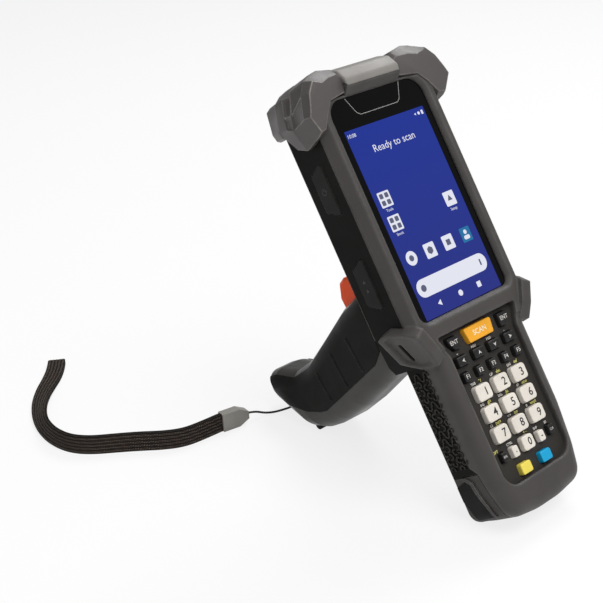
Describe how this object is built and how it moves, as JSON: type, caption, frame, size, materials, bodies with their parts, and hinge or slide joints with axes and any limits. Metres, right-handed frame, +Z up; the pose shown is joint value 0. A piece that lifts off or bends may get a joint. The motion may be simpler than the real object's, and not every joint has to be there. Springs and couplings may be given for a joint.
{
  "type": "handheld barcode terminal with pistol grip",
  "caption": "Rugged handheld data terminal with a touch screen over a key pad, corner bumpers, a pistol grip with trigger and a wrist strap.",
  "frame": {"origin": "centre of the bounding box's base without the wrist strap, on the floor that the tail edge and the grip's feet rest on", "axes": "+X to the user's right, +Y away from the user behind the terminal, +Z up"},
  "size_m": [0.1678, 0.3312, 0.2069],
  "materials": {
    "graphite_plastic": "fine moulded texture",
    "dark_rubber": "satin rubberised side walls",
    "seal_rubber": "matte",
    "bumper_rubber": "satin moulded rubber",
    "cover_plastic": "satin",
    "window_glass": "dark red tinted, polished",
    "display_glass": "polished",
    "screen": "lit screen",
    "keypad_plastic": "fine moulded texture",
    "circuit_board": "solder mask",
    "module_metal": "plain",
    "screw_steel": "plain",
    "grip_plastic": "satin",
    "trigger_plastic": "satin orange",
    "battery_plastic": "fine moulded texture",
    "cord_fabric": "ribbed nylon weave",
    "slider_plastic": "satin",
    "white_key": "satin",
    "amber_key": "satin",
    "yellow_key": "satin",
    "blue_key": "satin",
    "black_key": "satin"
  },
  "bodies": {
    "terminal": {"front_housing": "graphite_plastic", "rear_housing": "dark_rubber", "housing_seal": "seal_rubber", "head_bumper_left": "bumper_rubber", "head_bumper_right": "bumper_rubber", "head_cover": "cover_plastic", "scan_window": "window_glass", "display_glass": "display_glass", "lcd_panel": "screen", "keypad_panel": "keypad_plastic", "keypad_board": "circuit_board", "main_board": "circuit_board", "scan_engine": "module_metal", "speaker": "module_metal", "housing_screws": "screw_steel", "grip_left_shell": "grip_plastic", "grip_right_shell": "grip_plastic", "grip_feet": "seal_rubber", "trigger_pin": "screw_steel", "trigger_switch": "module_metal", "grip_screws": "screw_steel", "lanyard_cord": "cord_fabric", "strap_slider": "slider_plastic", "strap_webbing": "cord_fabric"},
    "key_scan": {"key_scan": "amber_key"},
    "key_enter_right": {"key_enter_right": "black_key"},
    "key_enter_left": {"key_enter_left": "black_key"},
    "key_0": {"key_0": "white_key"},
    "key_point": {"key_point": "white_key"},
    "key_dash": {"key_dash": "white_key"},
    "key_escape": {"key_escape": "black_key"},
    "key_clear": {"key_clear": "black_key"},
    "key_yellow": {"key_yellow": "yellow_key"},
    "key_blue": {"key_blue": "blue_key"},
    "key_left": {"key_left": "black_key"},
    "key_up": {"key_up": "black_key"},
    "key_down": {"key_down": "black_key"},
    "key_right": {"key_right": "black_key"},
    "key_f1": {"key_f1": "black_key"},
    "key_f2": {"key_f2": "black_key"},
    "key_f3": {"key_f3": "black_key"},
    "key_f4": {"key_f4": "black_key"},
    "key_f5": {"key_f5": "black_key"},
    "key_1": {"key_1": "white_key"},
    "key_2": {"key_2": "white_key"},
    "key_3": {"key_3": "white_key"},
    "key_4": {"key_4": "white_key"},
    "key_5": {"key_5": "white_key"},
    "key_6": {"key_6": "white_key"},
    "key_7": {"key_7": "white_key"},
    "key_8": {"key_8": "white_key"},
    "key_9": {"key_9": "white_key"},
    "side_button_left_upper": {"side_button_left_upper": "black_key"},
    "side_button_left_lower": {"side_button_left_lower": "black_key"},
    "side_button_right_lower": {"side_button_right_lower": "black_key"},
    "trigger": {"trigger": "trigger_plastic", "trigger_spring": "screw_steel"},
    "battery": {"battery_case": "battery_plastic", "battery_cells": "module_metal"},
    "latch": {"battery_latch": "keypad_plastic"}
  },
  "joints": [
    {"name": "key_scan_press", "type": "slide", "parent": "terminal", "child": "key_scan", "axis": [0, 0.8577, -0.5141], "range_m": [0, 0.0008], "stiffness_N_per_m": 800, "springref_m": -0.001},
    {"name": "key_enter_right_press", "type": "slide", "parent": "terminal", "child": "key_enter_right", "axis": [0, 0.8577, -0.5141], "range_m": [0, 0.0008], "stiffness_N_per_m": 800, "springref_m": -0.001},
    {"name": "key_enter_left_press", "type": "slide", "parent": "terminal", "child": "key_enter_left", "axis": [0, 0.8577, -0.5141], "range_m": [0, 0.0008], "stiffness_N_per_m": 800, "springref_m": -0.001},
    {"name": "key_0_press", "type": "slide", "parent": "terminal", "child": "key_0", "axis": [0, 0.8577, -0.5141], "range_m": [0, 0.0008], "stiffness_N_per_m": 800, "springref_m": -0.001},
    {"name": "key_point_press", "type": "slide", "parent": "terminal", "child": "key_point", "axis": [0, 0.8577, -0.5141], "range_m": [0, 0.0008], "stiffness_N_per_m": 800, "springref_m": -0.001},
    {"name": "key_dash_press", "type": "slide", "parent": "terminal", "child": "key_dash", "axis": [0, 0.8577, -0.5141], "range_m": [0, 0.0008], "stiffness_N_per_m": 800, "springref_m": -0.001},
    {"name": "key_escape_press", "type": "slide", "parent": "terminal", "child": "key_escape", "axis": [0, 0.8577, -0.5141], "range_m": [0, 0.0008], "stiffness_N_per_m": 800, "springref_m": -0.001},
    {"name": "key_clear_press", "type": "slide", "parent": "terminal", "child": "key_clear", "axis": [0, 0.8577, -0.5141], "range_m": [0, 0.0008], "stiffness_N_per_m": 800, "springref_m": -0.001},
    {"name": "key_yellow_press", "type": "slide", "parent": "terminal", "child": "key_yellow", "axis": [0, 0.8577, -0.5141], "range_m": [0, 0.0008], "stiffness_N_per_m": 800, "springref_m": -0.001},
    {"name": "key_blue_press", "type": "slide", "parent": "terminal", "child": "key_blue", "axis": [0, 0.8577, -0.5141], "range_m": [0, 0.0008], "stiffness_N_per_m": 800, "springref_m": -0.001},
    {"name": "key_left_press", "type": "slide", "parent": "terminal", "child": "key_left", "axis": [0, 0.8577, -0.5141], "range_m": [0, 0.0008], "stiffness_N_per_m": 800, "springref_m": -0.001},
    {"name": "key_up_press", "type": "slide", "parent": "terminal", "child": "key_up", "axis": [0, 0.8577, -0.5141], "range_m": [0, 0.0008], "stiffness_N_per_m": 800, "springref_m": -0.001},
    {"name": "key_down_press", "type": "slide", "parent": "terminal", "child": "key_down", "axis": [0, 0.8577, -0.5141], "range_m": [0, 0.0008], "stiffness_N_per_m": 800, "springref_m": -0.001},
    {"name": "key_right_press", "type": "slide", "parent": "terminal", "child": "key_right", "axis": [0, 0.8577, -0.5141], "range_m": [0, 0.0008], "stiffness_N_per_m": 800, "springref_m": -0.001},
    {"name": "key_f1_press", "type": "slide", "parent": "terminal", "child": "key_f1", "axis": [0, 0.8577, -0.5141], "range_m": [0, 0.0008], "stiffness_N_per_m": 800, "springref_m": -0.001},
    {"name": "key_f2_press", "type": "slide", "parent": "terminal", "child": "key_f2", "axis": [0, 0.8577, -0.5141], "range_m": [0, 0.0008], "stiffness_N_per_m": 800, "springref_m": -0.001},
    {"name": "key_f3_press", "type": "slide", "parent": "terminal", "child": "key_f3", "axis": [0, 0.8577, -0.5141], "range_m": [0, 0.0008], "stiffness_N_per_m": 800, "springref_m": -0.001},
    {"name": "key_f4_press", "type": "slide", "parent": "terminal", "child": "key_f4", "axis": [0, 0.8577, -0.5141], "range_m": [0, 0.0008], "stiffness_N_per_m": 800, "springref_m": -0.001},
    {"name": "key_f5_press", "type": "slide", "parent": "terminal", "child": "key_f5", "axis": [0, 0.8577, -0.5141], "range_m": [0, 0.0008], "stiffness_N_per_m": 800, "springref_m": -0.001},
    {"name": "key_1_press", "type": "slide", "parent": "terminal", "child": "key_1", "axis": [0, 0.8577, -0.5141], "range_m": [0, 0.0008], "stiffness_N_per_m": 800, "springref_m": -0.001},
    {"name": "key_2_press", "type": "slide", "parent": "terminal", "child": "key_2", "axis": [0, 0.8577, -0.5141], "range_m": [0, 0.0008], "stiffness_N_per_m": 800, "springref_m": -0.001},
    {"name": "key_3_press", "type": "slide", "parent": "terminal", "child": "key_3", "axis": [0, 0.8577, -0.5141], "range_m": [0, 0.0008], "stiffness_N_per_m": 800, "springref_m": -0.001},
    {"name": "key_4_press", "type": "slide", "parent": "terminal", "child": "key_4", "axis": [0, 0.8577, -0.5141], "range_m": [0, 0.0008], "stiffness_N_per_m": 800, "springref_m": -0.001},
    {"name": "key_5_press", "type": "slide", "parent": "terminal", "child": "key_5", "axis": [0, 0.8577, -0.5141], "range_m": [0, 0.0008], "stiffness_N_per_m": 800, "springref_m": -0.001},
    {"name": "key_6_press", "type": "slide", "parent": "terminal", "child": "key_6", "axis": [0, 0.8577, -0.5141], "range_m": [0, 0.0008], "stiffness_N_per_m": 800, "springref_m": -0.001},
    {"name": "key_7_press", "type": "slide", "parent": "terminal", "child": "key_7", "axis": [0, 0.8577, -0.5141], "range_m": [0, 0.0008], "stiffness_N_per_m": 800, "springref_m": -0.001},
    {"name": "key_8_press", "type": "slide", "parent": "terminal", "child": "key_8", "axis": [0, 0.8577, -0.5141], "range_m": [0, 0.0008], "stiffness_N_per_m": 800, "springref_m": -0.001},
    {"name": "key_9_press", "type": "slide", "parent": "terminal", "child": "key_9", "axis": [0, 0.8577, -0.5141], "range_m": [0, 0.0008], "stiffness_N_per_m": 800, "springref_m": -0.001},
    {"name": "side_button_left_upper_press", "type": "slide", "parent": "terminal", "child": "side_button_left_upper", "axis": [1, 0, 0], "range_m": [0, 0.0006], "stiffness_N_per_m": 1200, "springref_m": -0.001},
    {"name": "side_button_left_lower_press", "type": "slide", "parent": "terminal", "child": "side_button_left_lower", "axis": [1, 0, 0], "range_m": [0, 0.0006], "stiffness_N_per_m": 1200, "springref_m": -0.001},
    {"name": "side_button_right_lower_press", "type": "slide", "parent": "terminal", "child": "side_button_right_lower", "axis": [-1, 0, 0], "range_m": [0, 0.0006], "stiffness_N_per_m": 1200, "springref_m": -0.001},
    {"name": "trigger_pull", "type": "hinge", "parent": "terminal", "child": "trigger", "pos_m": [0, 0.00392, 0.09343], "axis": [-1, 0, 0], "range_deg": [0, 9], "stiffness_Nm_per_rad": 0.3, "springref_deg": -17.19},
    {"name": "battery_release", "type": "slide", "parent": "terminal", "child": "battery", "axis": [0, 0.8577, -0.5141], "range_m": [0, 0.025]},
    {"name": "battery_latch_slide", "type": "slide", "parent": "battery", "child": "latch", "axis": [0, -0.5141, -0.8577], "range_m": [0, 0.003], "stiffness_N_per_m": 600, "springref_m": -0.002}
  ]
}
